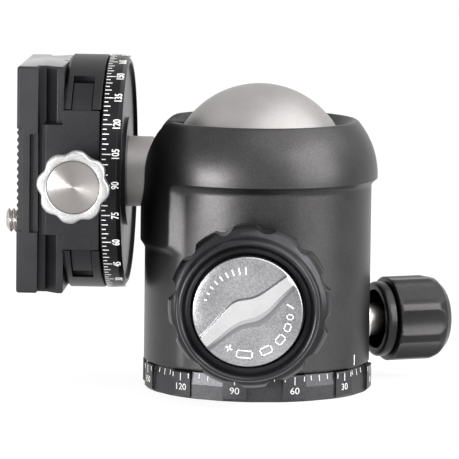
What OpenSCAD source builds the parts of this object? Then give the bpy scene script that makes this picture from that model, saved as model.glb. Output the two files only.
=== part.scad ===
// Tripod ball head with a panning base, a drop notch, a friction dial and a panning clamp.
// Millimetres, Z up. The origin is the mouth of the tripod thread. The stem lies in the drop
// notch and points to -X, and the main knob points to -Y.

/* [Base] */
// Radial step from the housing out to the base ring
ring_step = 0.7; // [0.5:0.1:1.6]
// Height of the base plate and the base ring
base_h = 7; // [6.5:0.25:9]
// Radial thickness of the base ring
ring_wall = 3.5; // [3:0.25:4.5]
// Number of raised number blocks around the ring
ring_blocks = 12; // [8:1:14]
// Angle covered by each number block
block_angle = 12; // [8:1:14]
// Depth of the flats milled between the blocks
flat_depth = 1; // [0.5:0.1:1.5]
// Turn of the base under the head at rest
base_turn = -8; // [-15:1:15]
// Tap bore of the 3/8-16 tripod thread
thread_d = 8; // [6.5:0.1:8.5]
// Depth of the tripod thread
thread_depth = 11; // [10:0.5:11.5]
// Outer diameter of the threaded insert
insert_d = 13; // [11.5:0.25:13.5]
// Diameter of the pan drum that the housing turns on
drum_d = 28; // [27:0.5:30]

/* [Housing] */
// Diameter of the ball
ball_d = 48; // [46:0.5:50]
// Wall of the housing below the ball
body_wall = 5.2; // [4.2:0.2:6]
// Thickness of the screwed-in floor
floor_t = 4.45; // [3.5:0.05:6]
// How far the rounded collar stands out from the housing
collar_raise = 1.6; // [1.2:0.1:2.4]
// Height of the collar's lip above the ball's centre
lip_h = 14.5; // [13:0.25:15]
// Diameter of the lip at the top of the collar
lip_d = 52; // [51:0.25:54]
// Width of the frame on each side of the notch
frame_margin = 12.2; // [9:0.2:13]
// Height of the frame below the notch
frame_drop = 7; // [5:0.25:9]
// Play between the stem and the notch
notch_gap = 0.65; // [0.4:0.05:1]

/* [Ball lock] */
// Diameter of the wedge rod
rod_d = 9; // [8:0.25:9.5]
// Height of the carrier that guides the wedge rod
carrier_h = 10.2; // [10:0.1:12]
// Thread diameter of the main spindle
spindle_d = 10; // [8:0.5:11]
// Slope of the wedge, as rise over run
wedge_slope = 0.3; // [0.2:0.02:0.34]

/* [Main knob] */
// Diameter over the lobes
knob_d = 42.5; // [38:0.5:43]
// Number of lobes
knob_lobes = 12; // [8:1:14]
// Turn of the scallops between the lobes
knob_turn = 19; // [0:1:30]
// Length of the lobed grip
grip_l = 11; // [9:0.5:14]
// Diameter of the smooth front rim
rim_d = 37; // [35:0.5:37.5]
// Length of the smooth front rim
rim_l = 6.2; // [5:0.2:8]
// Diameter of the friction dial
dial_d = 29; // [26:0.5:30]
// Height of the dial's finger ridge
ridge_h = 1.6; // [1:0.1:2.5]

/* [Pan lock] */
// Direction of the pan lock, turned from +X towards +Y
pan_lock_angle = 25; // [15:1:40]
// Diameter of the pan-lock shaft
pan_shaft_d = 8.6; // [7:0.1:9]
// Diameter of the brake pad
pad_d = 4.4; // [3.6:0.1:4.6]
// Diameter of the pan-lock knob
pan_knob_d = 23; // [20:0.5:24]
// Length of the pan-lock knob
pan_knob_l = 20; // [17:0.5:24]
// Number of flutes on the pan-lock knob
pan_flutes = 8; // [6:1:10]

/* [Stem and pan disc] */
// Diameter of the neck where it leaves the ball
neck_d = 16; // [14:0.5:17]
// Diameter of the stem
stem_d = 18.7; // [17.5:0.1:19.5]
// Gap between the notch frame and the pan disc
disc_gap = 3.2; // [1.5:0.1:5]
// Diameter of the pan disc and the clamp
disc_d = 62; // [61:0.5:66]
// Thickness of the graduated pan disc
disc_t = 5.3; // [4.5:0.1:7]
// Diameter of the pivot boss on the pan disc
boss_d = 24; // [22:0.5:25]

/* [Clamp] */
// Thickness of the clamp body
clamp_t = 10; // [9.6:0.1:12]
// Distance of the flat jaw faces from the stem's axis
jaw_face = 25; // [24:0.25:26.5]
// Length of the dovetail lips on the jaws
jaw_lip_l = 29; // [26:0.5:34]
// Thickness of the tongues that guide the moving jaw
tongue_t = 5.2; // [4:0.1:5.4]
// Diameter of the clamp knob
clamp_knob_d = 19; // [16:0.5:21]
// Length of the clamp knob
clamp_knob_l = 17; // [14:0.5:20]
// Number of scallops on the clamp knob
clamp_scallops = 8; // [6:1:10]
// Thread diameter of the clamp screw
clamp_screw_d = 6; // [5:0.5:6]

/* [Plate] */
// Length of the dovetail plate
plate_l = 60; // [56:1:80]
// Full width of the plate
plate_w = 38.5; // [38.1:0.1:40]
// Width over the dovetail flange
flange_w = 38; // [37.8:0.1:38.2]
// Thickness of the plate
plate_t = 12.4; // [11.5:0.1:15]
// Thickness of the dovetail flange
flange_t = 1.8; // [1.4:0.1:2.2]
// Depth of the 45 degree dovetail slope
dovetail = 3.2; // [2.8:0.1:3.4]
// Length of the rubber pad
pad_l = 27; // [24:1:34]
// Thread diameter of the camera screw
camera_d = 6.35; // [6.35:0.005:6.4]
// Length of the camera screw above the rubber pad
camera_l = 4.4; // [3.5:0.1:5.5]

/* [Fits] */
// Radial gap of fixed fits
seat_gap = 0.02; // [0.01:0.01:0.04]
// Radial gap of turning and sliding fits
run_gap = 0.05; // [0.04:0.01:0.08]
// Axial play of turning pieces
play = 0.05; // [0.03:0.01:0.08]
// Open gap between neighbouring moving pieces
open_gap = 0.3; // [0.25:0.05:0.4]

/* [Hidden] */
$fn = 96;
far = 100;
eps = 0.01;

// Radii of the housing, from the ball outwards
ball_r = ball_d / 2;
stem_r = stem_d / 2;
bore_r = ball_r + open_gap;
carrier_r = bore_r + 0.4;
body_r = carrier_r + body_wall;
floor_r = carrier_r + 0.9;
collar_r = body_r + collar_raise;
lip_r = lip_d / 2;
ring_r = body_r + ring_step;
plate_r = ring_r - ring_wall;
insert_r = insert_d / 2;
drum_r = drum_d / 2;
spigot_r = drum_r - 1.5;
notch_r = stem_r + notch_gap;
frame_r = collar_r - 0.05;
frame_side = notch_r + frame_margin;
frame_run = 1.9;
frame_slope = 3.4;

// Heights, stacked from the tripod upwards
washer_t = 0.5;
thrust_t = 0.95;
clip_t = 1;
floor_z = base_h + washer_t + play;
floor_top = floor_z + floor_t;
clip_z = floor_top + play + thrust_t;
clip_top = clip_z + clip_t;
pan_axis_z = clip_top + open_gap + pad_d / 2;
drum_top = pan_axis_z + pad_d / 2 + 2.3;
carrier_z = drum_top + 0.5;
carrier_top = carrier_z + carrier_h;
knob_axis_z = carrier_z + carrier_h / 2;
ball_z = carrier_top + 1.3 + ball_r;
lip_z = ball_z + lip_h;
seat_top = ball_z + 10.55;
seat_h = 6;
throat_r = sqrt(ball_r * ball_r - 10.6 * 10.6) + 0.45;
throat_h = 0.6;

// Base screws and spigot
screw_r = 1.5;
hex_d = 1.7;
grub_l = 6;
screw_head_r = 2.6;
screw_head_h = 2;
screw_sink = 0.3;
screw_circle = (insert_r + spigot_r) / 2;
spigot_z = 4;
base_screw_top = 9.5;

// Travel of the locks at the end of their turns
knob_travel = 1.125;
cup_travel = knob_travel * wedge_slope;
cup_drop = 11;
pan_travel = 0.92;
jaw_travel = 3.2;
lock_travel = 0.6;
plate_travel = 8;

// Main knob, measured outwards from the head's axis
spindle_r = spindle_d / 2;
rod_r = rod_d / 2;
rod_end = 19;
knob_back = ring_r + 0.475 + knob_travel;
knob_r = knob_d / 2;
knob_step = knob_back + grip_l;
knob_front = knob_step + rim_l;
rim_r = rim_d / 2;
dial_r = dial_d / 2;
dial_floor = knob_step - 0.1;
dial_top = knob_front + 0.5;
bush_r = spindle_r + 2.5;
detent_circle = dial_r - 4.5;
detent_r = 1.2;
dial_shaft_r = 2;
dial_shaft_l = 10;

// Pan lock, measured outwards from the head's axis
pan_shaft_r = pan_shaft_d / 2;
pan_neck_r = 3;
pan_neck_out = floor_r + pan_travel + 0.4;
pan_bush_r = pan_shaft_r + 2;
pan_pad_in = drum_r + pan_travel + 0.08;
pan_pad_out = 20;
pan_knob_r = pan_knob_d / 2;
pan_knob_in = ring_r + 3.2;
pan_knob_out = pan_knob_in + pan_knob_l;
band_r = pan_knob_r - 1.4;
band_l = 2.8;
hollow_l = 7.5;

// Stem, pan disc and clamp, measured outwards from the ball's centre
disc_r = disc_d / 2;
disc_in = collar_r + disc_gap;
disc_rim = 2.2;
disc_hub = 5;
disc_out = disc_in + disc_t;
boss_r = boss_d / 2;
boss_h = 6;
boss_out = disc_out + boss_h;
spigot_out = disc_out - 0.5;
stem_spigot_r = 6;
bolt_l = 14.8;
bolt_r = 2.5;
bolt_in = spigot_out - bolt_l;
bolt_head_r = 4.75;
bolt_head_h = 2.4;
washer_r = boss_r + 1;
washer_h = 1.25;
clamp_in = disc_out + open_gap;
clamp_out = clamp_in + clamp_t;
jaw_half = sqrt(disc_r * disc_r - jaw_face * jaw_face);
pocket_v = flange_w / 2 + open_gap;
jaw_back = pocket_v + open_gap;
jaw_base = 2;
clamp_axis = clamp_in + 5.7;
clamp_screw_r = clamp_screw_d / 2;
clamp_screw_in = washer_r + 0.6;
tongue_axis = clamp_in + 5.1;
tongue_r = disc_r - 0.8;
tongue_in = boss_r + 2.9;
tongue_half = disc_r - 6.2;
slot_half = tongue_half + 1.8;
tongue_deep = pocket_v - jaw_travel - 3.9;
slot_gap = 0.2;
slot_in = tongue_axis - tongue_t / 2 - slot_gap;
pin_r = 1.5;
pin_u = tongue_in + 6.6;
pin_in = 4;
pin_out = sqrt(tongue_r * tongue_r - pow(pin_u + pin_r, 2)) - 1;
spring_u = clamp_screw_r + 6;
spring_in = boss_r + 2.2;
spring_d = 3.2;
spring_wire = 0.6;
clamp_knob_r = clamp_knob_d / 2;
clamp_knob_in = disc_r + 0.4;
clamp_knob_out = jaw_face + clamp_knob_l;
clamp_hub_r = clamp_screw_r + 2.5;
scallop_turn = 15;
cap_r = clamp_knob_r - 2.7;
lock_axis = clamp_in + 2.9;
lock_pad_r = 1.8;
lock_shaft_r = 2.5;
lock_pad_in = boss_r + lock_travel + 0.05;
lock_pad_out = lock_pad_in + 3.4;
lock_knob_in = disc_r + 0.4 + lock_travel;
lock_knob_l = 11;
lock_knob_r = 6.5;

// Dovetail plate
plate_in = clamp_out + 0.2;
plate_out = plate_in + plate_t;
flange_out = plate_in + flange_t;
jaw_out = flange_out + dovetail + 0.2;
waist = flange_w / 2 - dovetail;
band_in = flange_out + dovetail + 1.8;
plate_drop = -0.8;
rubber_in = plate_out - 1.5;
rib_run = pad_l - 0.1;
ribs = floor(rib_run / 1.85);
rib_h = 0.45;
camera_r = camera_d / 2;
camera_u = plate_drop - 12.9;
camera_head_r = 7.3;
camera_head_h = 3;
camera_head_in = plate_in + 0.5;
camera_slot_r = camera_r + 0.25;
camera_clip_r = camera_r + 1.5;
camera_neck_r = camera_r - 0.6;
camera_clip_out = rubber_in + 0.7;
stop_u = plate_l / 2 - 4;
stop_r = 1.6;
stop_l = 5;
stop_head_r = 2.2;
stop_head_h = 1.1;
stop_in = plate_in - stop_head_h - open_gap;
stop_reach = plate_travel + stop_head_r + 0.2;
pocket_l = 26;
pocket_h = 2.1;
pocket_u = plate_drop - 0.9;
pocket_deep = 1.6;

// Radius at which an arc through the widest point and the lip has its centre
function arc_centre(wide, lip) = (wide * wide - lip * lip - lip_h * lip_h) / (2 * (wide - lip));

// Places children with their +Z along the main knob, the pan lock, the stem,
// the clamp screw and the clamp's pan lock
module on_main_knob() translate([0, 0, knob_axis_z]) rotate([90, 0, 0]) children();
module on_pan_lock() rotate([0, 0, pan_lock_angle]) translate([0, 0, pan_axis_z])
  rotate([0, 90, 0]) children();
module on_stem() translate([0, 0, ball_z]) rotate([0, -90, 0]) children();
module on_clamp_screw() on_stem() translate([0, 0, clamp_axis]) rotate([90, 0, 0]) children();
module on_clamp_lock() on_stem() translate([0, 0, lock_axis]) rotate([-90, 0, 0]) children();

module rod(r, from, to) translate([0, 0, from]) cylinder(r = r, h = to - from);

module tube(r_out, r_in, from, to) difference() {
  rod(r_out, from, to);
  rod(r_in, from - 1, to + 1);
}

// Repeats children evenly around Z
module around(n) for (i = [0 : n - 1]) rotate([0, 0, i * 360 / n]) children();

// Repeats children mirrored in X
module both_sides() {
  children();
  mirror([1, 0, 0]) children();
}

// Extrudes an outline drawn across the plate along the plate
module along_plate(length) rotate([90, 0, 90]) linear_extrude(length, center = true) children();

module coil(d, wire, length, turns)
  linear_extrude(length, twist = -360 * turns, slices = turns * 12, $fn = 8)
    translate([(d - wire) / 2, 0]) circle(d = wire, $fn = 8);

// ---- Base ----

module base_plate() color("dimgray") difference() {
  rod(plate_r - seat_gap, 0, base_h);
  rod(insert_r + seat_gap, -1, base_h + 1);
  rod(spigot_r + seat_gap, spigot_z, base_h + 1);
  around(4) translate([screw_circle, 0]) {
    rod(screw_head_r + seat_gap, -1, screw_sink + screw_head_h);
    rod(screw_r + seat_gap, 0, base_h);
  }
}

// One milled flat: upright below, leaning in above to meet the foot of the housing
module ring_flat() rotate([90, 0, 0])
  linear_extrude(2 * ring_r * sin(180 / ring_blocks - block_angle / 2), center = true)
    polygon([
      [ring_r - flat_depth, -1], [ring_r + 1, -1], [ring_r + 1, base_h + 1],
      [ring_r - flat_depth - 0.5, base_h + eps], [ring_r - flat_depth, base_h * 0.55]
    ]);

module scale_ring() color("#2c2c2e") difference() {
  rotate_extrude() polygon([
    [plate_r, 0], [ring_r - 0.8, 0], [ring_r, 0.8], [ring_r, base_h - 0.3],
    [ring_r - 0.3, base_h], [plate_r, base_h]
  ]);
  rotate([0, 0, base_turn + 180 / ring_blocks]) around(ring_blocks) ring_flat();
}

module tripod_insert() color("silver") tube(insert_r, thread_d / 2, 0, thread_depth);

module pan_drum() color("slategray") difference() {
  union() {
    rod(spigot_r, spigot_z, base_h);
    rod(drum_r, base_h, drum_top);
  }
  rod(insert_r + seat_gap, spigot_z - 1, thread_depth + play);
  around(4) translate([screw_circle, 0]) rod(screw_r + seat_gap, spigot_z - 1, base_screw_top + play);
  tube(drum_r + 1, drum_r - 1, clip_z, clip_top + play);
}

module base_screws() color("black") around(4) translate([screw_circle, 0]) difference() {
  union() {
    rod(screw_head_r, screw_sink, screw_sink + screw_head_h);
    rod(screw_r, screw_sink + screw_head_h, base_screw_top);
  }
  translate([0, 0, screw_sink - eps]) cylinder(d = 2.3, h = 1.2, $fn = 6);
}

module lower_washer() color("ivory") tube(floor_r - 0.6, drum_r + 1, base_h, base_h + washer_t);

module upper_washer() color("ivory")
  tube(drum_r + 5, drum_r + run_gap, floor_top + play, floor_top + play + thrust_t);

// Snap ring in the drum's groove, with its gap at the back
module drum_clip() color("gray") difference() {
  tube(drum_r + 3.5, drum_r - 1 + seat_gap, clip_z, clip_top);
  translate([-2, 0, clip_z - 1]) cube([4, far, clip_t + 2]);
}

// ---- Housing ----

// Outline of the collar from a height up to the lip
module crown_outline(wide, lip, from) intersection() {
  union() {
    translate([arc_centre(wide, lip), ball_z]) circle(r = wide - arc_centre(wide, lip));
    translate([0, from]) square([wide, ball_z - from]);
  }
  translate([0, from]) square([wide, lip_z - from]);
}

module housing_outline() {
  translate([0, base_h + open_gap]) square([body_r, ball_z - base_h - open_gap]);
  crown_outline(collar_r, lip_r, ball_z - 1);
  polygon([[0, ball_z - 4], [body_r, ball_z - 4], [collar_r, ball_z - 1], [0, ball_z - 1]]);
}

module frame_outline() {
  bottom = ball_z - notch_r - frame_drop;
  polygon([
    [0, bottom - frame_slope], [body_r, bottom - frame_slope], [frame_r, bottom],
    [frame_r, ball_z - 0.5], [0, ball_z - 0.5]
  ]);
}

// Plan of the frame, with sides that slope down to the housing
module frame_plan() {
  foot = frame_side + frame_run;
  edge_x = -sqrt(frame_r * frame_r - frame_side * frame_side);
  foot_x = -sqrt(body_r * body_r - foot * foot);
  polygon([
    [0, -foot], [foot_x, -foot], [edge_x, -frame_side], [-far, -frame_side],
    [-far, frame_side], [edge_x, frame_side], [foot_x, foot], [0, foot]
  ]);
}

// Everything that is bored out of the housing, from the floor to the mouth
module bore_outline() polygon([
  [0, 0], [floor_r, 0], [floor_r, floor_top], [carrier_r, floor_top], [carrier_r, carrier_top],
  [bore_r, carrier_top], [bore_r, seat_top + play], [throat_r, seat_top + play],
  [throat_r, seat_top + throat_h], [lip_r - 0.8, lip_z + eps], [lip_r - 0.8, lip_z + 1],
  [0, lip_z + 1]
]);

// The drop notch: a slot with a round bottom that the stem lies in
module drop_notch(r) {
  translate([-far, -r, ball_z]) cube([far - 10, 2 * r, far]);
  on_stem() rod(r, 10, far);
}

module housing() color("#3f3f42") difference() {
  union() {
    rotate_extrude() housing_outline();
    intersection() {
      rotate_extrude() frame_outline();
      linear_extrude(far) frame_plan();
    }
  }
  rotate_extrude() bore_outline();
  tube(carrier_r + 1, carrier_r - 1, carrier_z - clip_t - play, carrier_z);
  drop_notch(notch_r);
  on_main_knob() rod(bush_r + seat_gap, bore_r - 2, far);
  on_pan_lock() rod(pan_bush_r + seat_gap, bore_r - 2, far);
}

// Plastic ring that the ball turns in, open at the notch
module ball_seat() color("ivory") difference() {
  rod(bore_r - seat_gap, seat_top - seat_h, seat_top);
  translate([0, 0, ball_z]) sphere(r = ball_r + 0.08);
  drop_notch(notch_r);
}

module housing_floor() color("slategray") difference() {
  tube(floor_r - seat_gap, drum_r + run_gap, floor_z, floor_top);
  around(4) translate([(floor_r + drum_r) / 2, 0]) rod(1.5, floor_z - 1, floor_z + 2);
}

// Outline of the ramp, drawn along the rod and up, at a given gap above the ramp
module ramp_outline(from, to, top, gap) polygon([
  [from, rod_r * 0.69 - wedge_slope * from + gap], [from, top], [to, top],
  [to, rod_r * 0.69 - wedge_slope * to + gap]
]);

// Stands the ramp outline along Y at the height of the rod
module on_ramp(width) translate([0, 0, knob_axis_z]) rotate([90, 0, 90])
  linear_extrude(width, center = true) children();

module wedge_carrier() color("silver") difference() {
  rod(carrier_r - seat_gap, carrier_z, carrier_top);
  on_main_knob() {
    rod(rod_r + run_gap, -far, far);
    rod(spindle_r + open_gap, rod_end - knob_travel - open_gap, far);
  }
  translate([-3.3, -4.3, knob_axis_z]) cube([6.6, 8.6, far]);
}

// Snap ring that holds the wedge carrier, open where the main bush passes
module carrier_clip() color("gray") difference() {
  tube(carrier_r + 1 - seat_gap, carrier_r - 2.2, carrier_z - clip_t, carrier_z);
  translate([-bush_r - open_gap, -far, carrier_z - clip_t - 1])
    cube([2 * (bush_r + open_gap), far, clip_t + 2]);
}

module main_bush() color("silver") on_main_knob()
  tube(bush_r, spindle_r + run_gap, carrier_r + 0.2, body_r + 1.1);

module pan_bush() color("silver") on_pan_lock()
  tube(pan_bush_r, pan_shaft_r + run_gap, floor_r + 0.2, body_r + 0.6);

// ---- Ball lock ----

// Cup under the ball, lifted by the wedge through its foot
module pressure_cup() color("ivory") difference() {
  union() {
    rod(bore_r - run_gap, carrier_top + play, ball_z - cup_drop);
    on_ramp(6) ramp_outline(-4, 4, carrier_h / 2 + 0.4, 0.03);
  }
  translate([0, 0, ball_z - cup_travel]) sphere(r = ball_r + 0.1);
}

module lock_wedge() color("silver") difference() {
  on_main_knob() rod(rod_r, -16, rod_end);
  on_ramp(rod_d + 1) ramp_outline(-8, 5.5, rod_d, 0);
}

// ---- Main knob ----

module main_knob() color("#262627") on_main_knob() difference() {
  union() {
    difference() {
      rotate_extrude() polygon([
        [0, knob_back], [knob_r - 3, knob_back], [knob_r - 0.6, knob_back + 1.6],
        [knob_r, knob_back + 3], [knob_r, knob_step - 3.4], [knob_r - 1.4, knob_step - 0.8],
        [rim_r, knob_step], [0, knob_step]
      ]);
      rotate([0, 0, knob_turn]) around(knob_lobes)
        translate([knob_r + 1.4, 0]) rod(2.9, knob_back - 1, knob_step + 1);
    }
    rotate_extrude() polygon([
      [0, knob_back + 1], [rim_r, knob_back + 1], [rim_r, knob_front - 0.7],
      [rim_r - 0.6, knob_front], [rim_r - 1.1, knob_front], [dial_r + 0.9, knob_front - 2],
      [0, knob_front - 2]
    ]);
  }
  rod(dial_r + open_gap, dial_floor, far);
  rod(spindle_r + seat_gap, 0, far);
  around(2) translate([0, 0, knob_back + 5]) rotate([0, 90, 0]) rod(screw_r + seat_gap, 1, far);
  translate([0, detent_circle, 0]) rod(detent_r + run_gap, dial_floor - 8, far);
}

module main_spindle() color("silver") on_main_knob() difference() {
  rod(spindle_r, rod_end, dial_floor);
  rod(dial_shaft_r + run_gap, dial_floor - dial_shaft_l - 1, far);
}

module main_grub_screws() color("black") on_main_knob() around(2)
  translate([0, 0, knob_back + 5]) rotate([0, 90, 0]) difference() {
    rod(screw_r, spindle_r + seat_gap, spindle_r + grub_l);
    translate([0, 0, spindle_r + grub_l - 2]) cylinder(d = hex_d, h = grub_l, $fn = 6);
  }

module detent_plunger() color("silver") on_main_knob() translate([0, detent_circle, 0])
  rod(detent_r, dial_floor - 3, dial_floor - play);

module detent_spring() color("gray") on_main_knob()
  translate([0, detent_circle, dial_floor - 8]) coil(2 * detent_r - 0.2, 0.4, 5, 5);

// One long edge of the dial's S-shaped finger ridge
function ridge_edge(side) = [
  for (t = [-side : side / 8 : side])
    [t * dial_r, side * (1.5 + 3 * (1 - t * t) * (1 - t * t)) - 1.2 * sin(180 * t)]
];

module friction_dial() color("gainsboro") on_main_knob() {
  difference() {
    rotate_extrude() polygon([
      [0, dial_floor + play], [dial_r - 0.2, dial_floor + play], [dial_r - 0.2, dial_top - 0.4],
      [dial_r - 0.6, dial_top], [0, dial_top]
    ]);
    rod(dial_shaft_r + seat_gap, 0, dial_floor + 2);
  }
  intersection() {
    rod(dial_r - 0.6, dial_top - eps, dial_top + ridge_h);
    rotate([0, 0, 37]) translate([0, 0, dial_top - eps]) linear_extrude(ridge_h + 1)
      polygon(concat(ridge_edge(1), ridge_edge(-1)));
  }
}

module dial_shaft() color("silver") on_main_knob()
  rod(dial_shaft_r, dial_floor - dial_shaft_l, dial_floor + 2 - play);

// ---- Pan lock ----

module pan_brake_pad() color("goldenrod") on_pan_lock() {
  rod(pad_d / 2, pan_pad_in, pan_pad_out);
  rod(1.2, pan_pad_out, pan_pad_out + 2);
}

module pan_shaft() color("silver") on_pan_lock() difference() {
  union() {
    rod(pan_neck_r, pan_pad_out, pan_neck_out);
    rod(pan_shaft_r, pan_neck_out, pan_knob_out - 5);
  }
  rod(1.2 + seat_gap, pan_pad_out - 1, pan_pad_out + 2 + play);
}

module pan_knob() color("#262627") on_pan_lock() difference() {
  rotate_extrude() {
    polygon([
      [0, pan_knob_in], [band_r - 0.5, pan_knob_in], [band_r, pan_knob_in + 0.5],
      [band_r, pan_knob_in + band_l], [band_r - 0.6, pan_knob_in + band_l],
      [band_r - 0.6, pan_knob_in + band_l + 0.6], [pan_knob_r - 0.7, pan_knob_in + band_l + 0.6],
      [pan_knob_r, pan_knob_in + band_l + 1.6], [pan_knob_r, pan_knob_out - 5.2],
      [pan_knob_r - 0.8, pan_knob_out - 3], [pan_knob_r - 2.8, pan_knob_out - 0.9],
      [pan_knob_r - 5, pan_knob_out], [0, pan_knob_out]
    ]);
  }
  around(pan_flutes) translate([pan_knob_r + 11, 0])
    rod(12, pan_knob_in + band_l + 1.2, pan_knob_out - 3.4);
  rod(band_r - 2.2, 0, pan_knob_in + hollow_l);
  rod(pan_shaft_r + seat_gap, 0, pan_knob_out - 5 + play);
  translate([0, 0, pan_knob_in + hollow_l + 3]) rotate([0, 90, 0])
    rod(screw_r + seat_gap, 1, far);
}

module pan_grub_screw() color("black") on_pan_lock()
  translate([0, 0, pan_knob_in + hollow_l + 3]) rotate([0, 90, 0]) difference() {
    rod(screw_r, pan_shaft_r + seat_gap, pan_shaft_r + 4);
    translate([0, 0, pan_shaft_r + 2]) cylinder(d = hex_d, h = 4, $fn = 6);
  }

// ---- Ball, stem and pan disc ----

module ball_stem() color("#b5b3b0") difference() {
  union() {
    translate([0, 0, ball_z]) sphere(r = ball_r);
    on_stem() rotate_extrude() polygon([
      [0, 10], [neck_d / 2, 10], [neck_d / 2, ball_r + 3], [stem_r, ball_r + 4.5],
      [stem_r, disc_in], [stem_spigot_r, disc_in], [stem_spigot_r, spigot_out], [0, spigot_out]
    ]);
  }
  on_stem() rod(bolt_r + seat_gap, bolt_in - 2, far);
}

module pan_disc() color("#232324") on_stem() difference() {
  union() {
    rotate_extrude() polygon([
      [0, disc_in], [disc_r - 1.5, disc_in], [disc_r, disc_in + 1], [disc_r, disc_out - 0.4],
      [disc_r - 0.4, disc_out], [0, disc_out]
    ]);
    rod(boss_r, disc_out - 1, boss_out);
  }
  rod(stem_spigot_r + seat_gap, 0, spigot_out + play);
  rod(bolt_r + 0.1, 0, far);
  tube(disc_r - disc_rim, stem_r + disc_hub, disc_in - 1, disc_in + 0.9);
}

module disc_bolt() color("black") on_stem() difference() {
  union() {
    rod(bolt_r, bolt_in, boss_out + washer_h);
    rod(bolt_head_r, boss_out + washer_h, boss_out + washer_h + bolt_head_h);
  }
  translate([0, 0, boss_out + washer_h + 0.9]) cylinder(d = 4.6, h = far, $fn = 6);
}

module clamp_washer() color("silver") on_stem()
  tube(washer_r, bolt_r + 0.1, boss_out, boss_out + washer_h);

// ---- Clamp ----

// Places children along -Y at a distance up the stem frame and out along the stem
module on_jaw(u, w) translate([u, 0, w]) rotate([90, 0, 0]) children();

// Outline of a jaw above the clamp body, on the positive side
module jaw_lip() {
  gap = open_gap * 0.6;
  polygon([
    [jaw_back, clamp_out - eps], [jaw_back, clamp_out], [flange_w / 2 + gap, clamp_out],
    [flange_w / 2 + gap, flange_out + gap * 0.414],
    [waist + open_gap, flange_out + dovetail + gap * 1.414 - open_gap],
    [waist + open_gap, jaw_out], [jaw_face - 1, jaw_out], [jaw_face, jaw_out - 1],
    [jaw_face, clamp_out - eps]
  ]);
}

module clamp_body() color("#2b2b2d") on_stem() difference() {
  union() {
    rotate_extrude() polygon([
      [0, clamp_in], [disc_r - 0.3, clamp_in], [disc_r, clamp_in + 0.3],
      [disc_r, clamp_out - 0.8], [disc_r - 0.8, clamp_out], [0, clamp_out]
    ]);
    along_plate(2 * jaw_half - 0.6) translate([jaw_back, clamp_out - jaw_base])
      square([jaw_face - jaw_back, jaw_base]);
    along_plate(jaw_lip_l) jaw_lip();
  }
  // flat behind the fixed jaw, and the pocket and slots that the moving jaw slides in
  translate([-far, jaw_face, 0]) cube([2 * far, far, far]);
  translate([-jaw_half - open_gap, -far - pocket_v, 0]) cube([2 * (jaw_half + open_gap), far, far]);
  both_sides() translate([tongue_in - open_gap, -far - tongue_deep + open_gap, slot_in])
    cube([slot_half - tongue_in + open_gap, far, tongue_t + 2 * slot_gap]);
  // pivot and washer
  rod(boss_r + run_gap, 0, far);
  rod(washer_r + open_gap, boss_out - play, far);
  // pins, springs and screw of the moving jaw, and shaft of the lock
  both_sides() {
    on_jaw(pin_u, tongue_axis) rod(pin_r + run_gap, pin_in - 1, far);
    on_jaw(spring_u, tongue_axis) rod(spring_d / 2 + 0.15, spring_in, far);
  }
  on_jaw(0, clamp_axis) rod(clamp_screw_r + run_gap, boss_r, far);
  on_jaw(0, lock_axis) rod(lock_shaft_r + run_gap, -far, -boss_r);
  // grooves that stop the plate's screws
  translate([plate_drop + stop_u - stop_reach, -stop_head_r - open_gap, stop_in])
    cube([far, 2 * (stop_head_r + open_gap), far]);
  translate([plate_drop - stop_u + stop_reach - far, -stop_head_r - open_gap, stop_in])
    cube([far, 2 * (stop_head_r + open_gap), far]);
}

module jaw_springs() color("gray") on_stem() both_sides() on_jaw(spring_u, tongue_axis)
  translate([0, 0, spring_in]) coil(spring_d, spring_wire, jaw_back - spring_in, 4);

module moving_jaw() color("#2b2b2d") on_stem() difference() {
  union() {
    mirror([0, 1, 0]) {
      along_plate(2 * jaw_half) translate([jaw_back, clamp_in + open_gap])
        square([jaw_face - jaw_back, clamp_t - open_gap]);
      along_plate(jaw_lip_l) jaw_lip();
    }
    both_sides() intersection() {
      rod(tongue_r, tongue_axis - tongue_t / 2, tongue_axis + tongue_t / 2);
      translate([tongue_in, 0.2 - jaw_face, 0])
        cube([tongue_half - tongue_in, jaw_face - 0.2 - tongue_deep, far]);
    }
  }
  both_sides() on_jaw(pin_u, tongue_axis) rod(pin_r + seat_gap, 0, pin_out);
  on_jaw(0, clamp_axis) rod(clamp_screw_r + 0.1, 0, far);
}

module jaw_pins() color("silver") on_stem() both_sides() on_jaw(pin_u, tongue_axis)
  rod(pin_r, pin_in, pin_out - play);

module clamp_knob() color("gainsboro") on_clamp_screw() difference() {
  rotate_extrude() polygon([
    [0, jaw_face + play], [clamp_hub_r, jaw_face + play], [clamp_hub_r, clamp_knob_in],
    [clamp_knob_r - 1.2, clamp_knob_in], [clamp_knob_r, clamp_knob_in + 1.2],
    [clamp_knob_r, clamp_knob_out - 0.8], [clamp_knob_r - 0.8, clamp_knob_out],
    [0, clamp_knob_out]
  ]);
  rotate([0, 0, scallop_turn]) around(clamp_scallops)
    translate([clamp_knob_r + 2.1, 0]) rod(3.2, clamp_knob_in - 1, far);
  rod(cap_r + seat_gap, clamp_knob_out - 1.2, far);
  rod(clamp_screw_r + seat_gap, 0, clamp_knob_out - 3);
}

// Spun disc let into the knob's face
module clamp_knob_cap() color("silver") on_clamp_screw()
  rod(cap_r, clamp_knob_out - 1.2, clamp_knob_out - 0.4);

module clamp_screw() color("silver") on_clamp_screw()
  rod(clamp_screw_r, clamp_screw_in, clamp_knob_out - 3 - play);

module clamp_lock_pad() color("goldenrod") on_clamp_lock()
  rod(lock_pad_r, lock_pad_in, lock_pad_out);

module clamp_lock_shaft() color("silver") on_clamp_lock()
  rod(lock_shaft_r, lock_pad_out, lock_knob_in + lock_knob_l - 3);

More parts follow.
